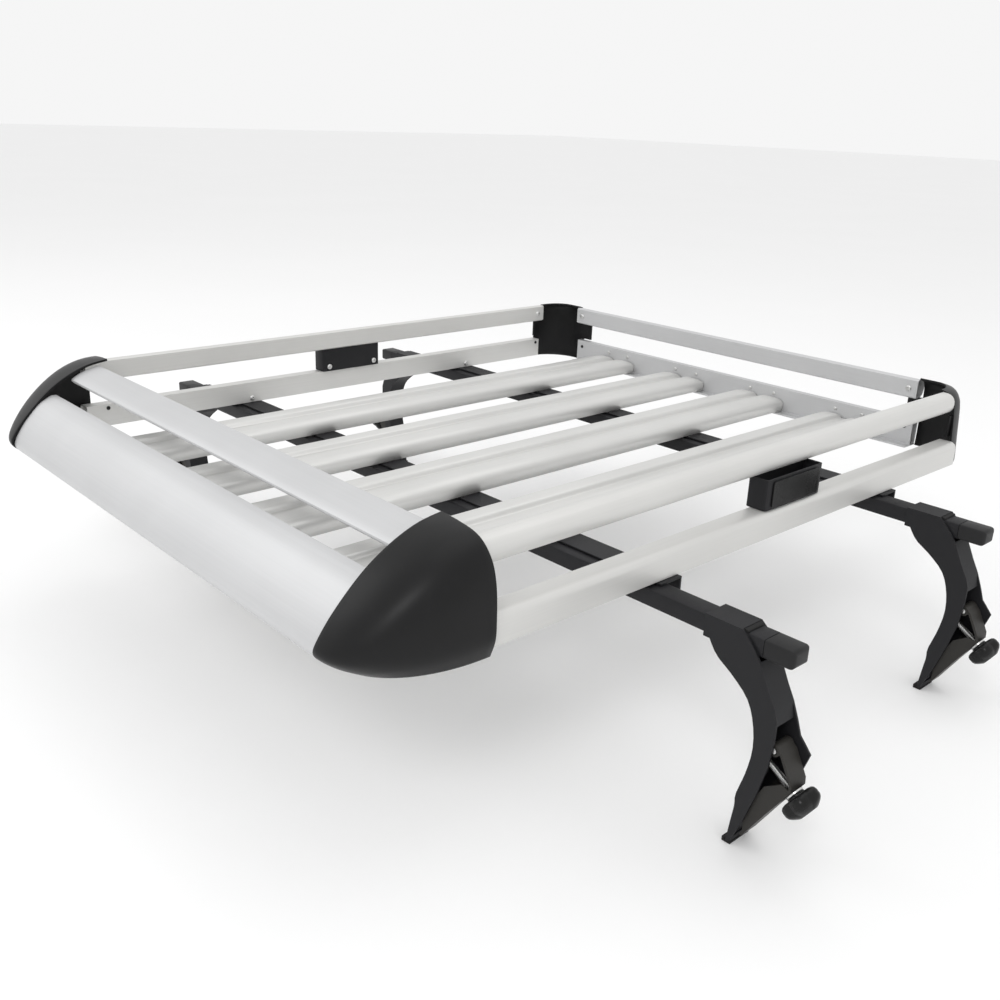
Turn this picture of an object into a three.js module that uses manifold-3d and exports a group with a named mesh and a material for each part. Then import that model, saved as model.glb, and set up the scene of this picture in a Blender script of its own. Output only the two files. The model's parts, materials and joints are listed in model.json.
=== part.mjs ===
// Aluminium roof cargo basket on two steel crossbars, each held by two clamping gutter feet.
// Millimetres, +Z up, +X to the right-hand side, -Y towards the front wind deflector.
// Heights are first laid out on the deck, whose zero is the underside of the side rails,
// and the whole basket is lifted at the end so that the feet stand on Z = 0. The rear bar is
// clamped a little further left than the front one, and X = 0 lies midway between the two.
import * as THREE from "three";
import { mergeVertices } from "three/addons/utils/BufferGeometryUtils.js";
import Module from "manifold-3d";

const wasm = await Module();
wasm.setup();

// ---- Driving dimensions -------------------------------------------------------------------

const LENGTH = 1112; // nose of the front corner caps to the back of the rear ones
const WIDTH = 900; // across the outer faces of the lower side rails
const SIDE_HEIGHT = 102; // top of the upper rails above the deck
const GAP = 0.5; // between pieces that butt or lie on each other
const FIT = 0.3; // running clearance round pins and studs

const EXTRUSION_WALL = 1.8;
const LOWER_RAIL = { width: 26, height: 33, round: 9 };
const UPPER_RAIL = { depth: 22, height: 30, inset: 14 };
const REAR_LOWER = { depth: 16, height: 42, drop: 4, lip: 14 };
const CROSS_RAIL = { depth: 28, height: 13 };

const CAP_WALL = 3;
const FRONT_CAP = { proud: 7, nose: 142, bulge: 81, rise: 10, bottom: -8 };
const REAR_CAP = {
  shy: 5, arm: 86, side: 65, corner: 62, rise: 3, bottom: -5, lip: 22, lean: 10, wing: 22,
};

const SLAT = { count: 4, sideGap: 132, width: 86, height: 22, groove: 15.5, lift: 1 };
const BAR = { overhang: 178, width: 28, height: 20, wall: 2, drop: 3.4 };
const BAR_SPACING = 459;
const REAR_BAR_SHIFT = -27; // along X, from the front bar's place
const FRONT_BAR_BACK = 377; // front bar's centre line behind the nose
const BAR_CAP = { length: 34, corner: 5 };
const BRACE = { width: 35, thick: 2.6, flange: 17, reach: 5 };
const UPRIGHT = { length: 116, depth: 28, wall: 2.5, shy: 4, rightBack: 629, leftBack: 587 };
const PLATE = { length: 96, margin: 3.5, thick: 2 };

const LEG = { wall: 2.5, sleeve: 44, sleeveAt: 58, drop: 240 };
const HOOK = { inner: 5.5, outer: 12, height: 5 };
const PAD = { length: 10.5, height: 5, wall: 2.5, lip: 3 };
const JAW = { thick: 3, cheekWall: 2, side: 1.6, eye: 6.5, pin: 3 };
const STUD = { radius: 4, length: 60, reach: 4 };
const WASHER = { radius: 10, thick: 2 };
const KNOB = { radius: 22, depth: 18, lobes: 5, lobeDepth: 2.6, hub: 10, neck: 1, recess: 11 };

// ---- Values worked out from them ----------------------------------------------------------

const FRONT = -LENGTH / 2;
const REAR = LENGTH / 2;
const SIDE = WIDTH / 2;
const CAP_BACK = FRONT + FRONT_CAP.nose;
const RAIL_FRONT = CAP_BACK - 18;
const REAR_CAP_FRONT = REAR - REAR_CAP.side;
const RAIL_REAR = REAR_CAP_FRONT - GAP;
const REAR_CAP_OUTER = SIDE - REAR_CAP.shy;
const REAR_CAP_INNER = REAR_CAP_OUTER - REAR_CAP.arm;
const UPPER_INNER = SIDE - UPPER_RAIL.inset - UPPER_RAIL.depth;
const UPPER_BOTTOM = SIDE_HEIGHT - UPPER_RAIL.height;
const REAR_FACE = REAR - CAP_WALL - GAP;
const FRONT_CAP_INNER = SIDE + FRONT_CAP.proud - FRONT_CAP.bulge;
const FRONT_SPAN = 2 * (FRONT_CAP_INNER - GAP);
const SLAT_FRONT = FRONT + 76;
const SLAT_REAR = REAR_FACE - REAR_LOWER.depth - GAP;
const SLAT_PITCH =
  (WIDTH - 2 * (LOWER_RAIL.width + SLAT.sideGap) - SLAT.width) / (SLAT.count - 1);
const BAR_LENGTH = WIDTH + 2 * BAR.overhang;
const BAR_TOP = -BAR.drop;
const BAR_BOTTOM = BAR_TOP - BAR.height;
const BAR_Y = { front: FRONT + FRONT_BAR_BACK, rear: FRONT + FRONT_BAR_BACK + BAR_SPACING };
const FOOT_HEIGHT = LEG.drop + PAD.wall;

// ---- Finishes -----------------------------------------------------------------------------

const finish = (color, roughness, metalness) => () =>
  new THREE.MeshStandardMaterial({ color, roughness, metalness });
const anodised = finish(0xe4e5e6, 0.38, 0.85);
const capPlastic = finish(0x17181a, 0.5, 0);
const powderCoat = finish(0x26272b, 0.6, 0.1);
const plainPlastic = finish(0x1b1c1e, 0.45, 0);
const zinc = finish(0xc3c5c2, 0.3, 0.9);
const rubber = finish(0x111112, 0.9, 0);

// ---- Solids -------------------------------------------------------------------------------

const at = (x, y) => new THREE.Vector2(x, y);

// Closed mesh to manifold-3d solid and back, so that pieces can be cut and joined.
function solid(geometry) {
  const bare = geometry.clone();
  bare.deleteAttribute("normal");
  bare.deleteAttribute("uv");
  const merged = mergeVertices(bare, 1e-4);
  return new wasm.Manifold(
    new wasm.Mesh({
      numProp: 3,
      vertProperties: merged.attributes.position.array,
      triVerts: new Uint32Array(merged.index.array),
    }),
  );
}

function geometryOf(made) {
  const mesh = made.getMesh();
  const geometry = new THREE.BufferGeometry();
  geometry.setAttribute("position", new THREE.BufferAttribute(mesh.vertProperties, 3));
  geometry.setIndex(new THREE.BufferAttribute(mesh.triVerts, 1));
  geometry.computeVertexNormals();
  return geometry;
}

const join = (...pieces) => geometryOf(pieces.map(solid).reduce((sum, piece) => sum.add(piece)));
const cut = (body, ...tools) =>
  geometryOf(tools.map(solid).reduce((rest, tool) => rest.subtract(tool), solid(body)));

// Outline with holes, drawn in a plane and extruded by a length.
function extrude(outline, length, holes = []) {
  const shape = new THREE.Shape(outline);
  shape.holes = holes.map((hole) => new THREE.Path(hole));
  return new THREE.ExtrudeGeometry(shape, { depth: length, bevelEnabled: false });
}

// Section drawn in X and Z, running along Y from one end to the other.
function alongY(outline, from, to, holes = []) {
  return extrude(outline, to - from, holes).rotateX(Math.PI / 2).translate(0, to, 0);
}

// Section drawn in Y and Z, running along X, centred on the basket.
function alongX(outline, length, holes = []) {
  const turn = new THREE.Matrix4().makeBasis(
    new THREE.Vector3(0, 1, 0),
    new THREE.Vector3(0, 0, 1),
    new THREE.Vector3(1, 0, 0),
  );
  return extrude(outline, length, holes).applyMatrix4(turn).translate(-length / 2, 0, 0);
}

function box(low, high) {
  const size = high.map((value, i) => value - low[i]);
  const middle = high.map((value, i) => (value + low[i]) / 2);
  return new THREE.BoxGeometry(...size).translate(...middle);
}

// Moves every edge of a counter-clockwise outline inwards by a wall.
function inset(outline, wall) {
  const count = outline.length;
  return outline.map((point, i) => {
    const before = point.clone().sub(outline[(i + count - 1) % count]).normalize();
    const after = outline[(i + 1) % count].clone().sub(point).normalize();
    const inwards = at(-before.y - after.y, before.x + after.x);
    const scale = (2 * wall) / inwards.lengthSq();
    return point.clone().addScaledVector(inwards, scale);
  });
}

// A sheet of one thickness that follows an open line, on the left of its direction.
function sheet(line, thickness) {
  const last = line.length - 1;
  const other = line.map((point, i) => {
    const before = point.clone().sub(line[Math.max(i - 1, 0)]).normalize();
    const after = line[Math.min(i + 1, last)].clone().sub(point).normalize();
    const sum = before.add(after);
    const left = at(-sum.y, sum.x);
    const scale = i === 0 || i === last ? thickness : (2 * thickness) / left.lengthSq();
    return point.clone().addScaledVector(left, scale);
  });
  return [...line, ...other.reverse()];
}

const smooth = (points, steps) => new THREE.SplineCurve(points).getPoints(steps);
const arc = (x, y, radius, from, to, steps) =>
  new THREE.EllipseCurve(x, y, radius, radius, from, to, from > to).getPoints(steps);

function roundedBox(width, height, radius, steps = 3) {
  const x = width / 2 - radius;
  const y = height / 2 - radius;
  const quarter = Math.PI / 2;
  const corners = [[x, -y, 3], [x, y, 0], [-x, y, 1], [-x, -y, 2]];
  return corners.flatMap(([cx, cy, turn]) =>
    arc(cx, cy, radius, turn * quarter, (turn + 1) * quarter, steps),
  );
}

const shifted = (outline, x, y) => outline.map((point) => at(point.x + x, point.y + y));

// A shell between two grids of points, closed round its four borders. Rows may meet in a point.
function shell(outside, inside) {
  const rows = outside.length;
  const columns = outside[0].length;
  const points = [...outside.flat(), ...inside.flat()];
  const out = (row, column) => row * columns + column;
  const inn = (row, column) => rows * columns + out(row, column);
  const faces = [];
  const quad = (a, b, c, d) => faces.push(a, b, c, a, c, d);
  for (let row = 0; row < rows - 1; row++) {
    for (let column = 0; column < columns - 1; column++) {
      quad(out(row, column), out(row, column + 1), out(row + 1, column + 1), out(row + 1, column));
      quad(inn(row, column), inn(row + 1, column), inn(row + 1, column + 1), inn(row, column + 1));
    }
    const end = columns - 1;
    quad(out(row, 0), out(row + 1, 0), inn(row + 1, 0), inn(row, 0));
    quad(out(row, end), inn(row, end), inn(row + 1, end), out(row + 1, end));
  }
  const top = rows - 1;
  for (let column = 0; column < columns - 1; column++) {
    quad(out(0, column), inn(0, column), inn(0, column + 1), out(0, column + 1));
    quad(out(top, column), out(top, column + 1), inn(top, column + 1), inn(top, column));
  }
  const geometry = new THREE.BufferGeometry().setFromPoints(points).setIndex(faces);
  const merged = mergeVertices(geometry, 1e-3);
  const index = Array.from(merged.index.array);
  const kept = [];
  for (let i = 0; i < index.length; i += 3) {
    const [a, b, c] = index.slice(i, i + 3);
    if (a !== b && b !== c && c !== a) kept.push(a, b, c);
  }
  return merged.setIndex(kept);
}

// ---- The basket's frame -------------------------------------------------------------------

// Box section with its upper outer corner rounded over; x grows outwards from the inner face.
function lowerRailOutline() {
  const { width, height, round } = LOWER_RAIL;
  const corner = arc(SIDE - round, height - round, round, 0, Math.PI / 2, 4);
  return [at(SIDE - width, 0), at(SIDE, 0), ...corner, at(SIDE - width, height)];
}

function lowerSideRail() {
  const outline = lowerRailOutline();
  return alongY(outline, RAIL_FRONT, RAIL_REAR, [inset(outline, EXTRUSION_WALL)]);
}

// D section: flat on the load side, full and round on the outside.
function upperRailOutline() {
  const { depth, height } = UPPER_RAIL;
  const steps = 12;
  const side = Array.from({ length: steps + 1 }, (_, i) => {
    const angle = (i / steps - 0.5) * Math.PI;
    const across = Math.pow(Math.cos(angle), 0.72);
    const up = Math.sign(angle) * Math.pow(Math.abs(Math.sin(angle)), 0.86);
    return at(3 + (depth - 3) * across, (height / 2) * up);
  });
  side[0].x = 3;
  side[steps].x = 3;
  return [at(0, -height / 2 + 2), ...side, at(0, height / 2 - 2)];
}

function upperRail(place, run) {
  const outline = upperRailOutline().map(place);
  return run(outline, [inset(outline, EXTRUSION_WALL)]);
}

function upperSideRail() {
  const middle = UPPER_BOTTOM + UPPER_RAIL.height / 2;
  const place = (point) => at(UPPER_INNER + point.x, middle + point.y);
  return upperRail(place, (outline, holes) => alongY(outline, RAIL_FRONT, RAIL_REAR, holes));
}

function upperRearRail() {
  const middle = UPPER_BOTTOM + UPPER_RAIL.height / 2;
  const inner = REAR_FACE - UPPER_RAIL.depth;
  const place = (point) => at(inner + point.x, middle + point.y);
  const length = 2 * (REAR_CAP_INNER - GAP);
  return upperRail(place, (outline, holes) => alongX(outline, length, holes));
}

// Wall with a foot that turns in under the ends of the slats.
function lowerRearRail() {
  const { depth, height, drop, lip } = REAR_LOWER;
  const inner = REAR_FACE - depth;
  const top = height - drop;
  const round = 5;
  const outline = [
    at(inner - lip, -drop),
    at(REAR_FACE, -drop),
    ...arc(REAR_FACE - round, top - round, round, 0, Math.PI / 2, 3),
    at(inner, top),
    at(inner, -drop + EXTRUSION_WALL + 1),
    at(inner - lip, -drop + EXTRUSION_WALL + 1),
  ];
  const hollow = inset(
    [at(inner, -drop), at(REAR_FACE, -drop), at(REAR_FACE, top - round), at(inner, top - round)],
    EXTRUSION_WALL,
  );
  return alongX(outline, 2 * (REAR_CAP_INNER - GAP), [hollow]);
}

function frontCrossRail() {
  const low = FRONT + 72;
  const middle = [low + CROSS_RAIL.depth / 2, -GAP - CROSS_RAIL.height / 2];
  const outline = shifted(roundedBox(CROSS_RAIL.depth, CROSS_RAIL.height, 2, 1), ...middle);
  return alongX(outline, FRONT_SPAN, [inset(outline, EXTRUSION_WALL)]);
}

// Flat blade between the front caps, sloping with the wind deflector.
function upperFrontRail() {
  const top = SIDE_HEIGHT;
  const line = smooth(
    [at(FRONT + 92, top - 18), at(FRONT + 89, top - 13), at(FRONT + 98, top - 7),
      at(FRONT + 114, top - 1), at(FRONT + 129, top + 2), at(FRONT + 131, top - 3),
      at(FRONT + 126, top - 6), at(FRONT + 110, top - 9)],
    20,
  ).reverse();
  return alongX(line, FRONT_SPAN, [inset(line, EXTRUSION_WALL)]);
}

// Wind deflector: one bowed sheet with a turned lip along its top and bottom edges.
function deflector() {
  const face = smooth(
    [at(FRONT + 59, 71), at(FRONT + 44, 63), at(FRONT + 30, 50), at(FRONT + 17, 35),
      at(FRONT + 6, 18), at(FRONT + 4, 7), at(FRONT + 12, -3)],
    20,
  );
  const line = [at(FRONT + 70, 64), at(FRONT + 66, 71), ...face, at(FRONT + 26, -8)];
  return alongX(sheet(line, 2.4), FRONT_SPAN);
}

function slat() {
  const { width, height, groove } = SLAT;
  const half = width / 2;
  const hump = [
    at(half, 0), at(half, 13), at(half - 2, 17), at(half - 9, height - 1.4),
    at(half - 18, height), at(half - 27, height - 1.4), at(half - 34, groove + 1.2),
    at(half - 37, groove),
  ];
  const mirrored = hump.map((point) => at(-point.x, point.y)).reverse();
  const outline = sheet([...hump, ...mirrored], EXTRUSION_WALL);
  return alongY(outline, SLAT_FRONT, SLAT_REAR).translate(0, 0, SLAT.lift);
}

// ---- Corner caps (right-hand side; the left ones are mirrored) ----------------------------

// The front cap swells round a corner post, from the deflector's profile to the rails'.
function frontCap() {
  const { nose, bulge, rise, bottom } = FRONT_CAP;
  const top = SIDE_HEIGHT + rise;
  const forward = [
    at(0, top), at(0.2 * nose, top - 5), at(0.41 * nose, top - 17), at(0.62 * nose, top - 36),
    at(0.83 * nose, top - 64), at(0.965 * nose, top - 88), at(nose, top - 101),
    at(0.93 * nose, bottom + 8), at(0.83 * nose, bottom),
  ];
  const sideways = [
    at(0, top), at(0.31 * bulge, top - 1.5), at(0.59 * bulge, top - 5), at(0.77 * bulge, top - 13),
    at(0.91 * bulge, top - 28), at(0.98 * bulge, top - 50), at(bulge, top - 80),
    at(0.99 * bulge, bottom + 11), at(0.91 * bulge, bottom),
  ];
  const up = 18;
  const round = 12;
  const forwardLine = smooth(forward, up).reverse();
  const sidewaysLine = smooth(sideways, up).reverse();
  const middle = (top + bottom) / 2;
  const grid = (shrink) =>
    forwardLine.map((front, row) =>
      Array.from({ length: round + 1 }, (_, column) => {
        const angle = (column / round) * (Math.PI / 2);
        const ahead = Math.pow(Math.max(Math.cos(angle), 0), 0.9);
        const across = Math.pow(Math.sin(angle), 0.9);
        const share = Math.sin(angle) ** 2;
        const height = front.y * (1 - share) + sidewaysLine[row].y * share;
        return new THREE.Vector3(
          FRONT_CAP_INNER + sidewaysLine[row].x * across * shrink,
          CAP_BACK - front.x * ahead * shrink,
          middle + (height - middle) * shrink,
        );
      }),
    );
  return shell(grid(1), grid(1 - CAP_WALL / bulge));
}

// The rear cap is a rounded corner that leans in towards its top lip. Its wings reach between
// the rails.
function rearCap() {
  const { corner, rise, bottom, lip, lean, wing } = REAR_CAP;
  const outer = REAR_CAP_OUTER;
  const top = SIDE_HEIGHT + rise;
  const section = smooth(
    [at(2, bottom), at(0, bottom + 8), at(0, 40), at(0, top - 28), at(2.5, top - 14),
      at(9, top - 4), at(lip, top)],
    14,
  );
  const inner = sheet(section, -CAP_WALL).slice(section.length).reverse();
  const steps = 8;
  const plan = [
    { x: outer, y: REAR_CAP_FRONT, angle: 0 },
    ...Array.from({ length: steps + 1 }, (_, i) => {
      const angle = (i / steps) * (Math.PI / 2);
      const x = outer - corner + corner * Math.cos(angle);
      return { x, y: REAR - corner + corner * Math.sin(angle), angle };
    }),
    { x: REAR_CAP_INNER, y: REAR, angle: Math.PI / 2 },
  ];
  const leanAt = (height) => (lean * (height - bottom)) / (top - bottom);
  const grid = (line) =>
    line.map(({ x: inwards, y: height }) =>
      plan.map(({ x, y, angle }) => {
        const sideways = (inwards + leanAt(height)) * Math.cos(angle);
        return new THREE.Vector3(x - sideways, y - inwards * Math.sin(angle), height);
      }),
    );
  const low = REAR_LOWER.height - REAR_LOWER.drop + 1;
  const high = UPPER_BOTTOM - 1;
  const wingInside = CAP_WALL + 2.5;
  const rearWing = box(
    [REAR_CAP_INNER - wing, REAR - wingInside, low],
    [REAR_CAP_INNER + 4, REAR - CAP_WALL + 1, high],
  );
  const wingOuter = outer - leanAt(high) - CAP_WALL + 1;
  const sideWing = box(
    [wingOuter - 3.5, REAR_CAP_FRONT - wing / 3, low],
    [wingOuter, REAR_CAP_FRONT + 4, high],
  );
  return join(shell(grid(section), grid(inner)), rearWing, sideWing);
}

// ---- Side uprights ------------------------------------------------------------------------

const UPRIGHT_OUTER = SIDE - UPRIGHT.shy;

function upright(middle) {
  const { length, depth, wall } = UPRIGHT;
  const low = LOWER_RAIL.height + GAP;
  const height = UPPER_BOTTOM - GAP - low;
  const outline = shifted(roundedBox(depth, length, 4, 2), UPRIGHT_OUTER - depth / 2, middle);
  return extrude(outline, height, [inset(outline, wall)]).translate(0, 0, low);
}

function uprightPlate(middle) {
  const face = UPRIGHT_OUTER + FIT;
  const centre = (LOWER_RAIL.height + UPPER_BOTTOM) / 2;
  const height = UPPER_BOTTOM - LOWER_RAIL.height - 2 * PLATE.margin;
  const outline = shifted(roundedBox(PLATE.length, height, 3, 2), middle, centre);
  return alongX(outline, PLATE.thick).translate(face + PLATE.thick / 2, 0, 0);
}

// ---- Crossbars and braces -----------------------------------------------------------------

const barMiddle = BAR_TOP - BAR.height / 2;
const barTube = BAR_LENGTH - 2 * BAR_CAP.length;

function crossbar(y) {
  const outline = shifted(roundedBox(BAR.width, BAR.height, 2.5, 2), y, barMiddle);
  return alongX(outline, barTube, [inset(outline, BAR.wall)]);
}

// Moulded plug: its head carries the tube's section on to a rounded end.
function barEndCap(y) {
  const start = barTube / 2 + FIT;
  const end = BAR_LENGTH / 2;
  const ring = (shrink, x) =>
    roundedBox(BAR.width - 2 * shrink, BAR.height - 2 * shrink, Math.max(2.5 - shrink, 1), 2).map(
      (point) => new THREE.Vector3(x, y + point.x, barMiddle + point.y),
    );
  const steps = 4;
  const rings = Array.from({ length: steps + 1 }, (_, i) => {
    const angle = (i / steps) * (Math.PI / 2);
    const back = BAR_CAP.corner * (1 - Math.sin(angle));
    return ring(BAR_CAP.corner * (1 - Math.cos(angle)), end - back);
  });
  const rows = [ring(0, start), ...rings];
  const points = rows.flat();
  const count = rows[0].length;
  const faces = [];
  rows.slice(1).forEach((_, row) => {
    for (let i = 0; i < count; i++) {
      const next = (i + 1) % count;
      const a = row * count + i;
      const b = row * count + next;
      faces.push(a, b, b + count, a, b + count, a + count);
    }
  });
  const last = (rows.length - 1) * count;
  for (let i = 1; i < count - 1; i++) {
    faces.push(0, i + 1, i, last, last + i, last + i + 1);
  }
  const head = new THREE.BufferGeometry().setFromPoints(points).setIndex(faces);
  const plugWall = BAR.wall + FIT;
  const plug = box(
    [start - 18, y - BAR.width / 2 + plugWall, BAR_BOTTOM + plugWall],
    [start + 2, y + BAR.width / 2 - plugWall, BAR_TOP - plugWall],
  );
  return join(head, plug);
}

// Pressed angle that lies on the bar and hooks down behind it.
function brace(y) {
  const { width, thick, flange, reach } = BRACE;
  const front = y - BAR.width / 2 + 14;
  const line = [at(front, -FIT), at(front + width, -FIT), at(front + width, -FIT - flange)];
  return alongX(sheet(line.reverse(), thick), WIDTH + 2 * reach);
}

// ---- Gutter feet (right-hand side; the left ones are mirrored) ----------------------------

const SLEEVE = { outer: BAR_LENGTH / 2 - LEG.sleeveAt };
SLEEVE.inner = SLEEVE.outer - LEG.sleeve;
SLEEVE.half = BAR.width / 2 + FIT + LEG.wall;
const FOOT_X = SLEEVE.outer + 5; // the foot's own outlines are measured outwards from here
const SLEEVE_TOP = BAR_TOP + FIT + LEG.wall;

// The clamp's stud leans outwards and down.
const STUD_LEAN = THREE.MathUtils.degToRad(32);
const STUD_DIRECTION = new THREE.Vector3(Math.cos(STUD_LEAN), 0, -Math.sin(STUD_LEAN));
const KNOB_CENTRE = new THREE.Vector3(FOOT_X + 76, 0, -163);
const PIN_CENTRE = new THREE.Vector3(FOOT_X + 45, 0, -114);

const footPoint = (x, z) => at(FOOT_X + x, z);

// Inner edge of the foot, from under the bar down to the hook at its tip.
function footInnerEdge() {
  return smooth(
    [footPoint(-41, BAR_BOTTOM - 2), footPoint(-30, -40), footPoint(-10, -53),
      footPoint(10, -70), footPoint(20, -92), footPoint(24, -120), footPoint(20, -150),
      footPoint(12, -180), footPoint(12, -194), footPoint(10, -212), footPoint(7, -LEG.drop)],
    26,
  );
}

// Front and rear cheeks of the pressed leg; only the rear one has the ear beside the clamp.
function cheek(ear, near, far) {
  const outer = [
    footPoint(11, -LEG.drop), footPoint(24, -205), footPoint(36, -165),
    ...(ear
      ? [footPoint(62, -142), footPoint(69, -119), footPoint(64, -113), footPoint(55, -103),
        footPoint(50, -89), footPoint(42, -70)]
      : [footPoint(43, -135), footPoint(46, -105), footPoint(46, -80), footPoint(42, -69)]),
    footPoint(33, -54), footPoint(23, -34), footPoint(13, -18), footPoint(5, -9),
    at(SLEEVE.outer, SLEEVE_TOP), at(SLEEVE.inner, SLEEVE_TOP), at(SLEEVE.inner, BAR_BOTTOM - 2),
  ];
  return alongY([...footInnerEdge(), ...outer], near, far);
}

// Closed along its inner edge, and along its outer edge from the bar down to the clamp.
function leg(y) {
  const { wall } = LEG;
  const { half } = SLEEVE;
  const front = cheek(false, y - half, y - half + wall);
  const rear = cheek(true, y + half - wall, y + half);
  const web = alongY(sheet(footInnerEdge(), wall), y - half + 1, y + half - 1);
  const saddle = box(
    [SLEEVE.inner, y - half, SLEEVE_TOP - wall],
    [SLEEVE.outer, y + half, SLEEVE_TOP],
  );
  const hook = box(
    [FOOT_X + HOOK.inner, y - half + 1, -LEG.drop],
    [FOOT_X + HOOK.outer, y + half - 1, -LEG.drop + HOOK.height],
  );
  const brow = alongY(
    sheet(
      [footPoint(46, -86), footPoint(42, -69.5), footPoint(33, -54), footPoint(23, -34),
        footPoint(19, BAR_BOTTOM - 4)],
      wall,
    ),
    y - half + 1,
    y + half - 1,
  );
  return join(front, rear, web, brow, saddle, hook);
}

// Rubber shoe under the hook, with a lip up its inner side.
function pad(y) {
  const { half } = SLEEVE;
  const inner = FOOT_X + HOOK.inner - FIT;
  const sole = -FOOT_HEIGHT;
  const outline = [
    at(inner - PAD.lip, sole), at(inner - PAD.lip + PAD.length, sole),
    at(inner - PAD.lip + PAD.length, -LEG.drop - FIT), at(inner, -LEG.drop - FIT),
    at(inner, sole + PAD.height), at(inner - PAD.lip, sole + PAD.height),
  ];
  return alongY(outline, y - half, y + half);
}

// Turns a piece made along +Z so that it points down the stud's axis.
function alongStud(geometry, distance, y) {
  const turn = new THREE.Quaternion().setFromUnitVectors(
    new THREE.Vector3(0, 0, 1),
    STUD_DIRECTION,
  );
  const place = KNOB_CENTRE.clone().addScaledVector(STUD_DIRECTION, distance);
  return geometry.applyQuaternion(turn).translate(place.x, place.y + y, place.z);
}

const cylinder = (radius, length, sides = 20) =>
  new THREE.CylinderGeometry(radius, radius, length, sides).rotateX(Math.PI / 2);

const KNOB_FACE = -KNOB.depth / 2 - KNOB.neck; // the knob's inner end, along the stud
const WASHER_MIDDLE = KNOB_FACE - FIT - WASHER.thick / 2;
const JAW_FACE = WASHER_MIDDLE - WASHER.thick / 2 - FIT;

// Bent channel: it hangs on its pin, passes the stud and closes on the hook at the tip.
function jaw(y) {
  const { thick, cheekWall, side, eye, pin } = JAW;
  const width = SLEEVE.half - LEG.wall - side;
  const pass = KNOB_CENTRE.clone().addScaledVector(STUD_DIRECTION, JAW_FACE);
  const down = at(-STUD_DIRECTION.z, STUD_DIRECTION.x).multiplyScalar(-1);
  const elbow = at(pass.x - down.x * 8, pass.z - down.y * 8);
  const lower = at(pass.x + down.x * 36, pass.z + down.y * 36);
  const line = [
    footPoint(22, -LEG.drop + 12), lower, elbow, at(elbow.x - 0.5, elbow.y + 8),
    at(PIN_CENTRE.x + 10, PIN_CENTRE.z - 1), at(PIN_CENTRE.x + 2, PIN_CENTRE.z + eye - 1),
  ];
  const plate = alongY(sheet(line, thick), y - width, y + width);
  const flank = [
    line[0], lower, elbow, footPoint(58, -146), footPoint(40, -158), footPoint(30, -178),
    footPoint(22.5, -200),
  ];
  const nearCheek = alongY(flank, y - width, y - width + cheekWall);
  const farCheek = alongY(flank, y + width - cheekWall, y + width);
  const roll = cylinder(eye, 2 * width).rotateX(Math.PI / 2);
  const knuckle = roll.translate(PIN_CENTRE.x, y, PIN_CENTRE.z);
  const bore = cylinder(pin + FIT, 4 * width).rotateX(Math.PI / 2);
  const slot = box([-6, -(STUD.radius + 1.2), -9], [20, STUD.radius + 1.2, 9]);
  return cut(
    join(plate, nearCheek, farCheek, knuckle),
    bore.translate(PIN_CENTRE.x, y, PIN_CENTRE.z),
    alongStud(slot, JAW_FACE, y),
  );
}

function jawPin(y) {
  const length = 2 * (SLEEVE.half - LEG.wall - FIT);
  const made = cylinder(JAW.pin, length, 14).rotateX(Math.PI / 2);
  return made.translate(PIN_CENTRE.x, y, PIN_CENTRE.z);
}

function stud(y) {
  const made = cylinder(STUD.radius, STUD.length, 14);
  return alongStud(made, STUD.reach - STUD.length / 2, y);
}

function washer(y) {
  const ring = cut(
    cylinder(WASHER.radius, WASHER.thick, 24),
    cylinder(STUD.radius + FIT, 3 * WASHER.thick, 16),
  );
  return alongStud(ring, WASHER_MIDDLE, y);
}

// Hand knob with finger lobes, a hub neck towards the clamp and a dished outer face.
function knob(y) {
  const { radius, depth, lobes, lobeDepth, hub, neck, recess } = KNOB;
  const around = 40;
  const edge = (shrink) =>
    Array.from({ length: around }, (_, i) => {
      const angle = (i / around) * 2 * Math.PI;
      const wave = radius - shrink - lobeDepth * (0.5 - 0.5 * Math.cos(lobes * angle));
      return at(wave * Math.cos(angle), wave * Math.sin(angle));
    });
  const layers = [[5, -depth / 2], [0, -depth / 2 + 5], [0, depth / 2 - 6], [5, depth / 2]];
  const points = layers.flatMap(([shrink, z]) =>
    edge(shrink).map((point) => new THREE.Vector3(point.x, point.y, z)),
  );
  const faces = [];
  for (let row = 0; row < layers.length - 1; row++) {
    for (let i = 0; i < around; i++) {
      const a = row * around + i;
      const b = row * around + ((i + 1) % around);
      faces.push(a, b, b + around, a, b + around, a + around);
    }
  }
  const last = (layers.length - 1) * around;
  for (let i = 1; i < around - 1; i++) {
    faces.push(0, i + 1, i, last, last + i, last + i + 1);
  }
  const body = new THREE.BufferGeometry().setFromPoints(points).setIndex(faces);
  const neckPiece = cylinder(hub, neck + 4).translate(0, 0, -depth / 2 - neck / 2 + 2);
  const dish = cylinder(recess, 8, 24).translate(0, 0, depth / 2);
  const boreEnd = STUD.reach + 2 * FIT;
  const bore = cylinder(STUD.radius + FIT, depth + neck, 16);
  bore.translate(0, 0, boreEnd - (depth + neck) / 2);
  return alongStud(cut(join(body, neckPiece), dish, bore), 0, y);
}

// ---- Assembly -----------------------------------------------------------------------------

const basket = new THREE.Group();
basket.position.set(-REAR_BAR_SHIFT / 2, 0, FOOT_HEIGHT);

function add(name, geometry, material, mirrored = false, shift = 0) {
  const mesh = new THREE.Mesh(geometry, material());
  mesh.name = name;
  mesh.position.x = shift;
  if (mirrored) mesh.scale.x = -1;
  basket.add(mesh);
}

add("wind_deflector", deflector(), anodised);
add("front_upper_rail", upperFrontRail(), anodised);
add("front_cross_rail", frontCrossRail(), anodised);
add("rear_upper_rail", upperRearRail(), anodised);
add("rear_lower_rail", lowerRearRail(), anodised);

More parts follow.
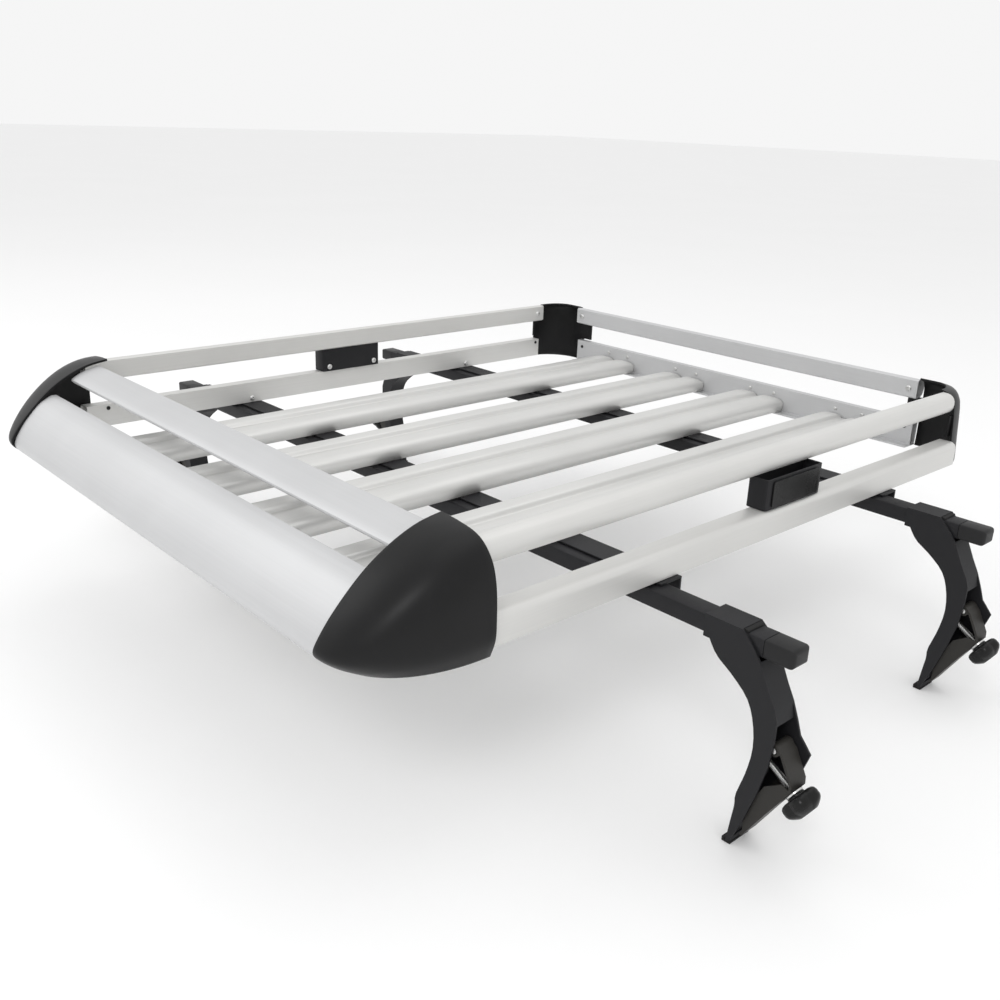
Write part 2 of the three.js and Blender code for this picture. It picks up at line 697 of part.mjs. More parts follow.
for (const [side, mirrored] of [["right", false], ["left", true]]) {
  const middle = FRONT + (mirrored ? UPRIGHT.leftBack : UPRIGHT.rightBack);
  add(`${side}_upper_rail`, upperSideRail(), anodised, mirrored);
  add(`${side}_lower_rail`, lowerSideRail(), anodised, mirrored);
  add(`front_${side}_cap`, frontCap(), capPlastic, mirrored);
  add(`rear_${side}_cap`, rearCap(), capPlastic, mirrored);
  add(`${side}_upright`, upright(middle), powderCoat, mirrored);
  add(`${side}_upright_plate`, uprightPlate(middle), plainPlastic, mirrored);
}

for (let i = 0; i < SLAT.count; i++) {
  const x = (i - (SLAT.count - 1) / 2) * SLAT_PITCH;
  add(`floor_slat_${i + 1}`, slat().translate(x, 0, 0), anodised);
}

for (const [end, y] of Object.entries(BAR_Y)) {
  const shift = end === "rear" ? REAR_BAR_SHIFT : 0;
  add(`${end}_crossbar`, crossbar(y), powderCoat, false, shift);
  add(`${end}_brace`, brace(y), powderCoat);
  for (const [side, mirrored] of [["right", false], ["left", true]]) {
    const corner = `${end}_${side}`;
    add(`${corner}_bar_end`, barEndCap(y), plainPlastic, mirrored, shift);
    add(`${corner}_leg`, leg(y), powderCoat, mirrored, shift);
    add(`${corner}_pad`, pad(y), rubber, mirrored, shift);
    add(`${corner}_jaw`, jaw(y), powderCoat, mirrored, shift);
    add(`${corner}_jaw_pin`, jawPin(y), zinc, mirrored, shift);
    add(`${corner}_stud`, stud(y), zinc, mirrored, shift);
    add(`${corner}_washer`, washer(y), zinc, mirrored, shift);
    add(`${corner}_knob`, knob(y), plainPlastic, mirrored, shift);
  }
}

export default basket;
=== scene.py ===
import json
import math

import bmesh
import bpy
from mathutils import Matrix, Vector


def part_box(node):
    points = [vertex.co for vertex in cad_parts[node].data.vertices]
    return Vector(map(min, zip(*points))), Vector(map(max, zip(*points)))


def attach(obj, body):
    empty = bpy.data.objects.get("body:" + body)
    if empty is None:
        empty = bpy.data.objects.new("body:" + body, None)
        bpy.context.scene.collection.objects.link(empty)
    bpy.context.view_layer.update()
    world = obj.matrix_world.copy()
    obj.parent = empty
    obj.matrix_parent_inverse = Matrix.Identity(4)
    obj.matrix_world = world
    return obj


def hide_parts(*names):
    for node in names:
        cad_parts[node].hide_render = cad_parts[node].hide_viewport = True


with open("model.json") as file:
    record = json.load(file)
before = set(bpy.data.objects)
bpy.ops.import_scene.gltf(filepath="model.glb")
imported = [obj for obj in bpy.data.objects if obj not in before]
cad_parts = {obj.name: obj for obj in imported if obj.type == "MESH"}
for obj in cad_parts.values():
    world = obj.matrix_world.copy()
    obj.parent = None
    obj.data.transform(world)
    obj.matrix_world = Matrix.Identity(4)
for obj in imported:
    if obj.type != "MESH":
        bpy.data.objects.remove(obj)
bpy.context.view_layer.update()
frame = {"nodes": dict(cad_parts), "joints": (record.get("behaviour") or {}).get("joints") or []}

CORNERS = ["front_right", "front_left", "rear_right", "rear_left"]
SLATS = [f"floor_slat_{i}" for i in range(1, 5)]
JOINTS = {joint["name"]: joint for joint in frame["joints"]}
MM = 0.001


# ---- Materials ----------------------------------------------------------------------------


class Wire:
    """A value on its way through a material. Sums on it add the nodes they need."""

    def __init__(self, finish, socket):
        self.finish = finish
        self.socket = socket

    def sum(self, operation, first, second):
        inputs = {0: first, 1: second}
        return self.finish.node("ShaderNodeMath", {"operation": operation}, inputs)

    def __add__(self, other):
        return self.sum("ADD", self, other)

    def __radd__(self, other):
        return self.sum("ADD", other, self)

    def __sub__(self, other):
        return self.sum("SUBTRACT", self, other)

    def __rsub__(self, other):
        return self.sum("SUBTRACT", other, self)

    def __mul__(self, other):
        return self.sum("MULTIPLY", self, other)

    def __rmul__(self, other):
        return self.sum("MULTIPLY", other, self)


class Finish:
    """One material and what its surface is worked out from."""

    def __init__(self, name, fixed):
        self.material = bpy.data.materials.new(name)
        self.material.use_nodes = True
        self.tree = self.material.node_tree
        self.tree.nodes.clear()
        self.shader = self.tree.nodes.new("ShaderNodeBsdfPrincipled")
        for socket, value in fixed.items():
            self.shader.inputs[socket].default_value = value
        output = self.tree.nodes.new("ShaderNodeOutputMaterial")
        self.tree.links.new(self.shader.outputs[0], output.inputs[0])
        self.place = self.node("ShaderNodeTexCoord", output="Object")

    def node(self, kind, settings=None, inputs=None, output=0):
        made = self.tree.nodes.new(kind)
        for name, value in (settings or {}).items():
            setattr(made, name, value)
        for name, value in (inputs or {}).items():
            self.plug(made.inputs[name], value)
        return Wire(self, made.outputs[output])

    def plug(self, socket, value):
        if isinstance(value, Wire):
            self.tree.links.new(value.socket, socket)
        else:
            socket.default_value = value

    def stretched(self, scale):
        settings = {"operation": "MULTIPLY"}
        return self.node("ShaderNodeVectorMath", settings, {0: self.place, 1: scale})

    def noise(self, scale, detail=2.0, rough=0.5, vector=None):
        inputs = {
            "Vector": vector or self.place, "Scale": scale, "Detail": detail, "Roughness": rough,
        }
        return self.node("ShaderNodeTexNoise", None, inputs)

    def cells(self, scale, vector=None):
        inputs = {"Vector": vector or self.place, "Scale": scale}
        return self.node("ShaderNodeTexVoronoi", {"feature": "SMOOTH_F1"}, inputs)

    def between(self, value, low, high):
        """0 below low, 1 above high and a smooth rise between."""
        settings = {"interpolation_type": "SMOOTHSTEP"}
        inputs = {"Value": value, "From Min": low, "From Max": high}
        return self.node("ShaderNodeMapRange", settings, inputs)

    def blend(self, share, first, second):
        settings = {"data_type": "RGBA"}
        return self.node("ShaderNodeMix", settings, {0: share, 6: first, 7: second}, output=2)

    def upward(self):
        normal = self.node("ShaderNodeNewGeometry", output="Normal")
        return self.node("ShaderNodeSeparateXYZ", None, {0: normal}, output="Z")

    def surface(self, colour=None, roughness=None, metallic=None, height=None, depth=0.0):
        inputs = self.shader.inputs
        for socket, value in [
            ("Base Color", colour), ("Roughness", roughness), ("Metallic", metallic),
        ]:
            if value is not None:
                self.plug(inputs[socket], value)
        if height is not None:
            bump = {"Height": height, "Distance": depth, "Strength": 1.0}
            self.plug(inputs["Normal"], self.node("ShaderNodeBump", None, bump))
        return self.material


def grey(level, tint=(1.0, 1.0, 1.0)):
    return (level * tint[0], level * tint[1], level * tint[2], 1.0)


def anodised(name, along, level, tint):
    """Extruded aluminium, drawn along one axis: fine die lines, a matt bead-blasted skin and
    the faint cloudiness of anodising."""
    finish = Finish(name, {"Metallic": 0.5, "Specular IOR Level": 0.4})
    scale = [1.0, 1.0, 1.0]
    scale[along] = 0.012
    lines = finish.noise(520.0, 3.0, 0.6, finish.stretched(tuple(scale)))
    hair = finish.noise(2400.0, 2.0, 0.6, finish.stretched(tuple(scale)))
    cloud = finish.noise(7.0, 3.0, 0.55)
    skin = finish.noise(2600.0, 2.0, 0.7)
    shade = finish.between(cloud * 0.6 + lines * 0.4, 0.3, 0.72)
    colour = finish.blend(shade, grey(level * 0.93, tint), grey(level, tint))
    roughness = 0.36 + 0.10 * lines + 0.07 * hair + 0.05 * cloud
    height = lines * 0.45 + hair * 0.2 + skin * 0.35
    return finish.surface(colour, roughness, height=height, depth=0.00005)


def moulded(name, level, tint, gloss, grain, grain_depth):
    """Moulded black plastic with a spark-eroded grain and slight flow marks."""
    finish = Finish(name, {"Specular IOR Level": 0.2})
    fine = finish.cells(grain)
    flow = finish.noise(14.0, 3.0, 0.6)
    rub = finish.between(finish.noise(55.0, 4.0, 0.7), 0.52, 0.78)
    colour = finish.blend(
        flow * 0.55 + rub * 0.25, grey(level * 0.8, tint), grey(level * 1.6, tint),
    )
    roughness = gloss + 0.08 * flow + 0.10 * rub - 0.05 * fine
    height = fine * 0.7 + finish.noise(grain * 0.4, 2.0, 0.5) * 0.3
    return finish.surface(colour, roughness, height=height, depth=grain_depth)


def powder_coat(name, level, tint, gloss):
    """Sintered powder coat: orange-peel skin, upper faces lightened in patches (dust and painted
    top light) and a few rubbed spots.
    """
    finish = Finish(name, {"Specular IOR Level": 0.24, "Metallic": 0.0})
    peel = finish.noise(900.0, 2.0, 0.5)
    grit = finish.noise(2300.0, 3.0, 0.7)
    patch = finish.noise(26.0, 4.0, 0.6)
    # Upward faces lightened in patches: partly dust, partly painted top light.
    dust_and_top_light = finish.between(finish.upward(), 0.2, 0.95) * finish.between(patch, 0.3, 0.75)
    colour = finish.blend(
        dust_and_top_light * 0.4 + grit * 0.2, grey(level, tint), grey(level * 2.1, tint),
    )
    roughness = gloss + 0.12 * patch + 0.10 * grit
    return finish.surface(colour, roughness, height=peel * 0.6 + grit * 0.4, depth=0.00009)


def plated(name):
    """Bright zinc plate, a little clouded."""
    finish = Finish(name, {"Metallic": 1.0})
    cloud = finish.noise(160.0, 3.0, 0.6)
    fine = finish.noise(2500.0, 2.0, 0.6)
    colour = finish.blend(cloud, grey(0.58, (1.0, 1.0, 0.97)), grey(0.82, (1.0, 1.0, 1.0)))
    return finish.surface(colour, 0.2 + 0.22 * cloud, height=fine, depth=0.00002)


def rubbery(name):
    finish = Finish(name, {"Specular IOR Level": 0.3})
    bloom = finish.noise(90.0, 4.0, 0.65)
    colour = finish.blend(bloom, grey(0.009), grey(0.022))
    return finish.surface(colour, 0.78 + 0.12 * bloom, height=finish.noise(1800.0), depth=0.00006)


def floor_paint(name):
    finish = Finish(name, {"Specular IOR Level": 0.1})
    cloud = finish.noise(1.3, 3.0, 0.5)
    colour = finish.blend(cloud, grey(0.92), grey(0.94))
    return finish.surface(colour, 0.85 + 0.05 * cloud)


SIDE_ALUMINIUM = anodised("side_rail_aluminium", 1, 0.70, (1.0, 0.995, 0.97))
SLAT_ALUMINIUM = anodised("slat_aluminium", 1, 0.68, (1.0, 0.997, 0.975))
CROSS_ALUMINIUM = anodised("cross_rail_aluminium", 0, 0.62, (0.985, 0.99, 1.0))
CAP_PLASTIC = moulded("cap_plastic", 0.008, (1.0, 1.0, 1.05), 0.36, 1500.0, 0.00005)
END_PLASTIC = moulded("bar_end_plastic", 0.016, (1.0, 1.0, 1.04), 0.42, 1700.0, 0.00004)
KNOB_PLASTIC = moulded("knob_plastic", 0.010, (1.0, 1.0, 1.0), 0.22, 1400.0, 0.00001)
PLATE_PLASTIC = moulded("plate_plastic", 0.010, (1.0, 1.0, 1.0), 0.26, 1400.0, 0.00001)
CHARCOAL = powder_coat("charcoal_powder_coat", 0.012, (0.98, 0.98, 1.1), 0.42)
JAW_COAT = powder_coat("jaw_coat", 0.022, (1.06, 1.0, 0.9), 0.36)
ZINC = plated("zinc_plate")
RUBBER = rubbery("pad_rubber")
SCREW_BLACK = moulded("black_screw", 0.02, (1.0, 1.0, 1.0), 0.3, 1500.0, 0.00001)


# ---- Shapes -------------------------------------------------------------------------------


def dress(piece, material):
    piece.data.materials.clear()
    piece.data.materials.append(material)


def smooth_shade(piece, angle=38.0):
    mesh = piece.data
    if "custom_normal" in mesh.attributes:
        mesh.attributes.remove(mesh.attributes["custom_normal"])
    mesh.shade_smooth()
    mesh.set_sharp_from_angle(angle=math.radians(angle))


def ease_edges(piece, width, segments=2, angle=38.0):
    """Welds the piece's faces together and rounds its sharp edges a little."""
    weld = piece.modifiers.new("weld", "WELD")
    weld.merge_threshold = 0.00001
    bevel = piece.modifiers.new("edges", "BEVEL")
    bevel.width = width
    bevel.segments = segments
    bevel.limit_method = "ANGLE"
    bevel.angle_limit = math.radians(angle)
    bevel.harden_normals = True


def new_piece(name, points, faces, material, body, merge=0.0):
    mesh = bpy.data.meshes.new(name)
    mesh.from_pydata([tuple(point) for point in points], [], faces)
    build = bmesh.new()
    build.from_mesh(mesh)
    if merge:
        bmesh.ops.remove_doubles(build, verts=build.verts, dist=merge)
    bmesh.ops.recalc_face_normals(build, faces=build.faces)
    build.to_mesh(mesh)
    build.free()
    piece = bpy.data.objects.new(name, mesh)
    bpy.context.scene.collection.objects.link(piece)
    dress(piece, material)
    smooth_shade(piece)
    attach(piece, body)
    return piece


def ring_faces(rows, count, closed_ends=True):
    faces = []
    for row in range(rows - 1):
        for i in range(count):
            a, b = row * count + i, row * count + (i + 1) % count
            faces.append((a, b, b + count, a + count))
    if closed_ends:
        last = (rows - 1) * count
        faces.append(tuple(range(count - 1, -1, -1)))
        faces.append(tuple(last + i for i in range(count)))
    return faces


def turned(name, rings, sides, centre, axis, material, body):
    """A piece turned round an axis. Each ring is a radius, or a radius for each angle, and a
    distance along the axis."""
    frame_of = Vector(axis).normalized().to_track_quat("Z", "Y").to_matrix()
    points = []
    for radius, along in rings:
        for i in range(sides):
            angle = 2 * math.pi * i / sides
            r = radius(angle) if callable(radius) else radius
            local = Vector((r * math.cos(angle), r * math.sin(angle), along))
            points.append(Vector(centre) + frame_of @ local)
    return new_piece(name, points, ring_faces(len(rings), sides), material, body)


def hexagon(across):
    def radius(angle):
        turn = math.pi / 3
        return across / 2 / math.cos((angle + turn / 2) % turn - turn / 2)
    return radius


def bolt(name, centre, axis, radius, body="basket", material=None):
    """Button-head bolt with a hexagon socket, seated on a face."""
    socket = hexagon(radius * 0.85)
    height = radius * 0.55
    rings = [
        (radius * 0.98, 0.02 * MM), (radius, height * 0.25), (radius * 0.93, height * 0.6),
        (radius * 0.76, height * 0.88), (radius * 0.58, height), (socket, height),
        (socket, height * 0.35),
    ]
    return turned(name, rings, 24, centre, axis, material or ZINC, body)


def curve_through(points, steps):
    """Catmull-Rom curve through points, at even parameter steps."""
    made = []
    count = len(points)
    for step in range(steps + 1):
        at = (count - 1) * step / steps
        i = min(int(at), count - 1)
        t = at - i
        p = [Vector(points[min(max(i + k, 0), count - 1)]) for k in (-1, 0, 1, 2)]
        v0, v1 = (p[2] - p[0]) * 0.5, (p[3] - p[1]) * 0.5
        made.append(
            (2 * p[1] - 2 * p[2] + v0 + v1) * t ** 3
            + (-3 * p[1] + 3 * p[2] - 2 * v0 - v1) * t ** 2 + v0 * t + p[1]
        )
    return made


# ---- Carried-over pieces ------------------------------------------------------------------

COAT = {
    "wind_deflector": (CROSS_ALUMINIUM, 0.5), "front_upper_rail": (CROSS_ALUMINIUM, 0.4),
    "front_cross_rail": (CROSS_ALUMINIUM, 0.4), "rear_upper_rail": (CROSS_ALUMINIUM, 0.3),
    "rear_lower_rail": (CROSS_ALUMINIUM, 0.6), "right_upper_rail": (SIDE_ALUMINIUM, 0.3),
    "left_upper_rail": (SIDE_ALUMINIUM, 0.3), "right_lower_rail": (SIDE_ALUMINIUM, 0.7),
    "left_lower_rail": (SIDE_ALUMINIUM, 0.7), "rear_right_cap": (CAP_PLASTIC, 0.6),
    "rear_left_cap": (CAP_PLASTIC, 0.6), "right_upright": (CHARCOAL, 0.6),
    "left_upright": (CHARCOAL, 0.6), "right_upright_plate": (PLATE_PLASTIC, 0.6),
    "left_upright_plate": (PLATE_PLASTIC, 0.6), "front_crossbar": (CHARCOAL, 0.4),
    "rear_crossbar": (CHARCOAL, 0.4), "front_brace": (CHARCOAL, 0.5),
    "rear_brace": (CHARCOAL, 0.5),
}
for corner in CORNERS:
    COAT[f"{corner}_bar_end"] = (END_PLASTIC, 0.7)
    COAT[f"{corner}_leg"] = (CHARCOAL, 0.6)
    COAT[f"{corner}_pad"] = (RUBBER, 0.5)
    COAT[f"{corner}_jaw"] = (JAW_COAT, 0.5)
    COAT[f"{corner}_jaw_pin"] = (ZINC, 0.3)
    COAT[f"{corner}_washer"] = (ZINC, 0.3)

for node, (material, edge) in COAT.items():
    piece = frame["nodes"][node]
    dress(piece, material)
    smooth_shade(piece)
    ease_edges(piece, edge * MM)


# ---- Floor slats --------------------------------------------------------------------------

SLAT_SHEET = 1.8 * MM
RIDGE_END = 26 * MM  # length over which the ridges are rounded down at the rear


def slat_profile(half, height):
    """Half of the section, from the middle of the groove to the side's lower edge."""
    groove = height * 0.68
    side = [
        (0.0, groove), (half * 0.1, groove), (half * 0.19, groove),
        (half * 0.235, groove + 1.2 * MM),
        (half * 0.285, height - 1.5 * MM), (half * 0.35, height - 0.2 * MM), (half * 0.5, height),
        (half * 0.68, height - 0.2 * MM), (half * 0.86, height - 1.6 * MM),
        (half * 0.965, height - 5.0 * MM), (half, height - 9.4 * MM), (half, 0.0),
    ]
    body = curve_through([(x, z, 0) for x, z in side[:-1]], 26)
    return [(point.x, point.y) for point in body] + [side[-1]]


def slat(node):
    low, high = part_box(node)
    middle = (low.x + high.x) / 2
    half = (high.x - low.x) / 2
    height = high.z - low.z
    right = slat_profile(half, height)
    section = [(-x, z) for x, z in reversed(right[1:])] + right
    stations = [(low.y, 1.0), ((low.y + high.y) / 2, 1.0), (high.y - RIDGE_END, 1.0)]
    for i in range(1, 9):
        share = i / 8
        stations.append((high.y - RIDGE_END * (1 - share), math.sqrt(1 - 0.78 * share ** 2.4)))
    points = []
    for y, rise in stations:
        for x, z in section:
            lifted = z if z <= height * 0.5 else height * 0.5 + (z - height * 0.5) * rise
            points.append(Vector((middle + x, y, low.z + lifted)))
    columns = len(section)
    faces = []
    for row in range(len(stations) - 1):
        for column in range(columns - 1):
            a = row * columns + column
            faces.append((a, a + 1, a + columns + 1, a + columns))
    piece = new_piece(
        f"{node}_sheet", points, faces, SLAT_ALUMINIUM, "basket",
    )
    if piece.data.polygons[len(faces) // 2].normal.z < 0:
        piece.data.flip_normals()
    wall = piece.modifiers.new("wall", "SOLIDIFY")
    wall.thickness = SLAT_SHEET
    wall.offset = -1.0
    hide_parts(node)


for node in SLATS:
    slat(node)


# ---- Front corner caps --------------------------------------------------------------------

CAP_WALL = 3 * MM


def front_cap(side):
    """Swollen corner moulding: a grid of points swept from the deflector round to the rails."""
    node = f"front_{side}_cap"
    low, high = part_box(node)
    outward = 1 if side == "right" else -1
    inner = low.x if outward > 0 else high.x
    bulge = high.x - low.x
    nose = (high.y - low.y) * 0.998
    height = high.z - low.z
    forward = [
        (0, 0), (0.2, 0.041), (0.41, 0.142), (0.62, 0.3), (0.83, 0.533), (0.965, 0.733),
        (1.0, 0.842), (0.93, 0.933), (0.83, 1.0),
    ]
    sideways = [
        (0, 0), (0.31, 0.0125), (0.59, 0.042), (0.77, 0.108), (0.91, 0.233), (0.98, 0.417),
        (1.0, 0.667), (0.99, 0.842), (0.91, 1.0),
    ]
    up, round_ = 44, 30
    ahead = curve_through([(x * nose, -z * height, 0) for x, z in forward], up)
    across = curve_through([(x * bulge, -z * height, 0) for x, z in sideways], up)
    points = []
    for front, flank in zip(ahead, across):
        for column in range(round_ + 1):
            angle = column / round_ * math.pi / 2
            share = math.sin(angle) ** 2
            points.append(Vector((
                inner + outward * flank.x * math.sin(angle) ** 0.9,
                high.y - front.x * max(math.cos(angle), 0.0) ** 0.9,
                high.z + front.y * (1 - share) + flank.y * share,
            )))
    columns = round_ + 1
    faces = []
    for row in range(up):
        for column in range(round_):
            a = row * columns + column
            faces.append((a, a + 1, a + columns + 1, a + columns))
    piece = new_piece(
        f"{node}_moulding", points, faces, CAP_PLASTIC, "basket", merge=0.02 * MM,
    )
    middle = Vector((inner, high.y, (low.z + high.z) / 2))
    test = piece.data.polygons[len(piece.data.polygons) // 2]
    if (test.center - middle).dot(test.normal) < 0:
        piece.data.flip_normals()
    wall = piece.modifiers.new("wall", "SOLIDIFY")
    wall.thickness = CAP_WALL
    wall.offset = -1.0
    rim = piece.modifiers.new("rim", "BEVEL")
    rim.width = 0.7 * MM
    rim.segments = 2
    rim.limit_method = "ANGLE"
    rim.angle_limit = math.radians(50)
    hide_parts(node)


front_cap("right")
front_cap("left")


# ---- Clamp knobs and studs ----------------------------------------------------------------

KNOB_RADIUS = 21.2 * MM
KNOB_LOBES = 5
STUD_RADIUS = 4 * MM
STUD_PITCH = 1.25 * MM
STUD_SPAN = (-56 * MM, 4 * MM)  # from the knob's centre, along the joint's axis


def lobed(radius, depth):
    def at(angle):
        wave = abs(math.cos(angle * KNOB_LOBES / 2)) ** 1.4
        return radius - depth * (1 - wave)
    return at


def knob(corner):
    joint = JOINTS[f"{corner}_knob_turn"]
    axis = Vector(joint["axis"])
    big = KNOB_RADIUS
    rings = [
        (7.4, -10.0), (9.4, -9.9), (9.8, -9.4), (9.8, -7.9), (10.6, -7.6),
        (lobed(0.70 * big / MM, 1.4), -8.0), (lobed(0.86 * big / MM, 2.4), -7.2),
        (lobed(0.96 * big / MM, 3.0), -5.4), (lobed(big / MM, 3.2), -2.6),
        (lobed(big / MM, 3.2), 2.2), (lobed(0.94 * big / MM, 3.0), 5.0),
        (lobed(0.81 * big / MM, 2.4), 7.4), (lobed(0.67 * big / MM, 1.6), 9.2),
        (lobed(0.55 * big / MM, 0.5), 10.5), (10.2, 11.0), (9.6, 10.6), (9.0, 6.4), (8.2, 6.0),
    ]
    scaled = []
    for radius, along in rings:
        if callable(radius):
            scaled.append(((lambda angle, r=radius: r(angle) * MM), along * MM))
        else:
            scaled.append((radius * MM, along * MM))
    piece = turned(
        f"{corner}_knob_moulding", scaled, 90, joint["pos_m"], axis, KNOB_PLASTIC,
        f"knob_{corner}",
    )
    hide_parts(f"{corner}_knob")


def stud(corner):
    """Threaded stud: the radius follows the thread round and along."""
    joint = JOINTS[f"{corner}_knob_turn"]
    axis = Vector(joint["axis"])
    sides, per_turn = 20, 6
    start, end = STUD_SPAN
    frame_of = axis.normalized().to_track_quat("Z", "Y").to_matrix()
    rows = int((end - start) / STUD_PITCH * per_turn)
    points = []
    for row in range(rows + 1):
        along = start + (end - start) * row / rows
        chamfer = min(1.0, min(row, rows - row) / per_turn)
        for i in range(sides):
            phase = (along / STUD_PITCH - i / sides) % 1.0
            groove = 1 - abs(2 * phase - 1)
            radius = STUD_RADIUS - (0.62 * groove + 0.8 * (1 - chamfer)) * MM
            angle = 2 * math.pi * i / sides
            local = Vector((radius * math.cos(angle), radius * math.sin(angle), along))
            points.append(Vector(joint["pos_m"]) + frame_of @ local)
    piece = new_piece(
        f"{corner}_stud_thread", points, ring_faces(rows + 1, sides), ZINC,
        f"foot_{corner}",
    )
    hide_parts(f"{corner}_stud")


for corner in CORNERS:
    knob(corner)
    stud(corner)


# ---- Bolts and screws ---------------------------------------------------------------------

BOLT = 4.6 * MM
SCREW = 3.0 * MM


def rail_bolts():
    rail_low, rail_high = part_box("right_upper_rail")
    left_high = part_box("left_upper_rail")[1]
    rear_low, rear_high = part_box("rear_upper_rail")
    middle = (rail_low.z + rail_high.z) / 2
    bolt("right_rail_bolt", (rail_low.x, rail_high.y - 16 * MM, middle), (-1, 0, 0), BOLT)
    bolt("left_rail_bolt", (left_high.x, left_high.y - 16 * MM, middle), (1, 0, 0), BOLT)
    bolt("rear_rail_bolt_right", (rear_high.x - 14 * MM, rear_low.y, middle), (0, -1, 0), BOLT)
    bolt("rear_rail_bolt_left", (rear_low.x + 14 * MM, rear_low.y, middle), (0, -1, 0), BOLT)


def lower_rail_screws():
    for side, inward in (("right", -1), ("left", 1)):
        low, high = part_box(f"{side}_lower_rail")
        face = low.x if inward < 0 else high.x
        for end, y in (("front", low.y + 32 * MM), ("rear", high.y - 9 * MM)):
            bolt(
                f"{side}_rail_screw_{end}", (face, y, high.z - 6 * MM), (inward, 0, 0), SCREW,
                material=SCREW_BLACK,
            )
        for end in ("front", "rear"):
            brace_low, brace_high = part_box(f"{end}_brace")
            y = (brace_low.y + brace_high.y) / 2
            bolt(f"{side}_{end}_brace_bolt", (face, y, low.z + 7 * MM), (inward, 0, 0), BOLT)


def rear_wall_bolts():
    low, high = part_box("rear_lower_rail")
    face = high.y - 16 * MM
    for side, x in (("right", high.x - 13 * MM), ("left", low.x + 13 * MM)):
        bolt(
            f"rear_wall_screw_{side}", (x, face, high.z - 12 * MM), (0, -1, 0), SCREW,
            material=SCREW_BLACK,
        )
    for number, node in enumerate(SLATS, 1):
        slat_low, slat_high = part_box(node)
        middle = (slat_low.x + slat_high.x) / 2
        for side, offset in (("right", 24 * MM), ("left", -24 * MM)):
            centre = (middle + offset, face, slat_high.z + 4 * MM)
            bolt(f"slat_{number}_bolt_{side}", centre, (0, -1, 0), SCREW)


def upright_bolts():
    for side, inward in (("right", -1), ("left", 1)):
        low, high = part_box(f"{side}_upright")
        face = low.x if inward < 0 else high.x
        for end, y in (("front", low.y + 12 * MM), ("rear", high.y - 12 * MM)):
            bolt(f"{side}_upright_bolt_{end}", (face, y, low.z + 8 * MM), (inward, 0, 0), BOLT)


rail_bolts()
lower_rail_screws()
rear_wall_bolts()
upright_bolts()


# ---- Liners at the sleeves' outer ends ----------------------------------------------------

LINER_INSET = 57.7 * MM  # from the bar end's tip
LINER_HALF_WIDTH = 13.6 * MM

def liner(corner):
    """Strip of black rubber that shows between the sleeve and the bar's moulded end."""
    side = 1 if corner.endswith("right") else -1
    end_low, end_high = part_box(f"{corner}_bar_end")
    bar_top = end_high.z
    tip = end_high.x if side > 0 else end_low.x
    start = tip - side * LINER_INSET
    middle = (end_low.y + end_high.y) / 2
    section = [(0, 0.15), (0, 2.3), (0.6, 2.7), (4.6, 2.2), (5.4, 1.2), (5.4, 0.15)]
    points = []
    for y in (middle - LINER_HALF_WIDTH, middle + LINER_HALF_WIDTH):
        for along, up in section:
            points.append(Vector((start + side * along * MM, y, bar_top + up * MM)))
    piece = new_piece(
        f"{corner}_sleeve_liner", points, ring_faces(2, len(section)), RUBBER,
        f"foot_{corner}",
    )
    ease_edges(piece, 0.2 * MM)


for corner in CORNERS:
    liner(corner)


# ---- Floor, light and camera --------------------------------------------------------------


FLOOR_REACH = 30.0  # from the middle to each side


def floor():
    size = FLOOR_REACH
    points = [(x, y, 0.0) for x, y in ((-size, -size), (size, -size), (size, size), (-size, size))]
    mesh = bpy.data.meshes.new("studio_floor")
    mesh.from_pydata(points, [], [(0, 1, 2, 3)])
    piece = bpy.data.objects.new("studio_floor", mesh)
    bpy.context.scene.collection.objects.link(piece)
    dress(piece, floor_paint("floor_paint"))


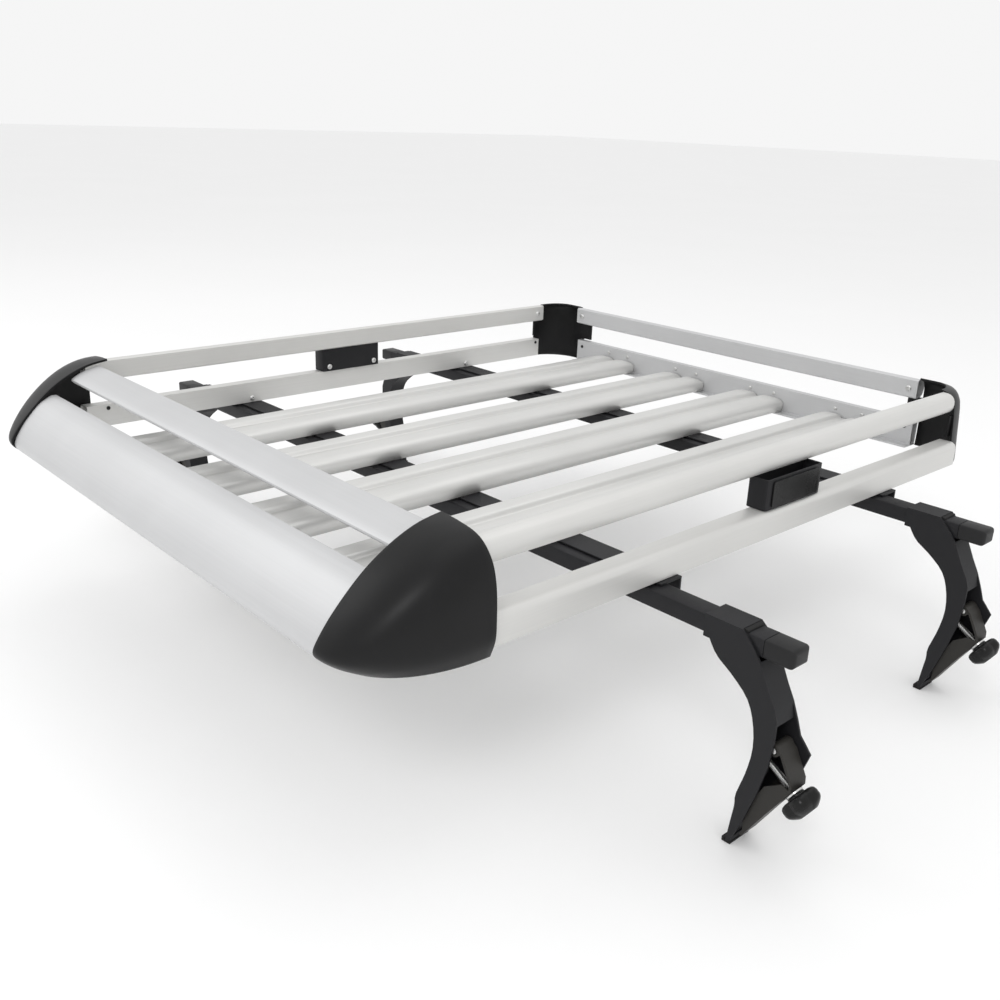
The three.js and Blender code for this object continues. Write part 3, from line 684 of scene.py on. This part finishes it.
def lamp(name, place, target, size, power, colour=(1.0, 1.0, 1.0)):
    light = bpy.data.lights.new(name, "AREA")
    light.shape = "DISK"
    light.size = size
    light.energy = power
    light.color = colour
    holder = bpy.data.objects.new(name, light)
    bpy.context.scene.collection.objects.link(holder)
    aim = Vector(target) - Vector(place)
    holder.rotation_euler = aim.to_track_quat("-Z", "Y").to_euler()
    holder.location = place


WORLD_STRENGTH = 0.92
LAMPS = [
    ("key_light", (-2.6, -2.2, 2.6), (0.0, 0.0, 0.2), 1.8, 16),
    ("front_light", (1.9, -2.6, 2.7), (0.3, -0.4, 0.2), 1.2, 26),
    ("top_light", (0.2, 0.4, 3.4), (0.0, 0.0, 0.2), 3.0, 14),
]


def studio():
    world = bpy.data.worlds.new("studio")
    bpy.context.scene.world = world
    world.use_nodes = True
    sky = world.node_tree.nodes["Background"]
    sky.inputs["Color"].default_value = (1.0, 1.0, 1.0, 1.0)
    sky.inputs["Strength"].default_value = WORLD_STRENGTH
    for settings in LAMPS:
        lamp(*settings)
    bpy.context.scene.view_settings.view_transform = "Standard"


CAMERA_PLACE = (1.08432, -0.98479, 0.69880)
CAMERA_YAW = math.radians(-47.180)
CAMERA_PITCH = math.radians(-20.267)
CAMERA_ROLL = math.radians(2.1693)
CAMERA_LENS = 37.522


def camera():
    level = Vector((math.cos(CAMERA_YAW), -math.sin(CAMERA_YAW), 0))
    ahead = Vector((
        math.sin(CAMERA_YAW) * math.cos(CAMERA_PITCH),
        math.cos(CAMERA_YAW) * math.cos(CAMERA_PITCH),
        math.sin(CAMERA_PITCH),
    ))
    upright = level.cross(ahead)
    right = level * math.cos(CAMERA_ROLL) + upright * math.sin(CAMERA_ROLL)
    up = upright * math.cos(CAMERA_ROLL) - level * math.sin(CAMERA_ROLL)
    data = bpy.data.cameras.new("camera")
    data.lens = CAMERA_LENS
    data.sensor_width = 36
    data.clip_end = 100
    holder = bpy.data.objects.new("camera", data)
    bpy.context.scene.collection.objects.link(holder)
    turn = Matrix((right, up, -ahead)).transposed().to_4x4()
    holder.matrix_world = Matrix.Translation(CAMERA_PLACE) @ turn
    bpy.context.scene.camera = holder


floor()
studio()
camera()
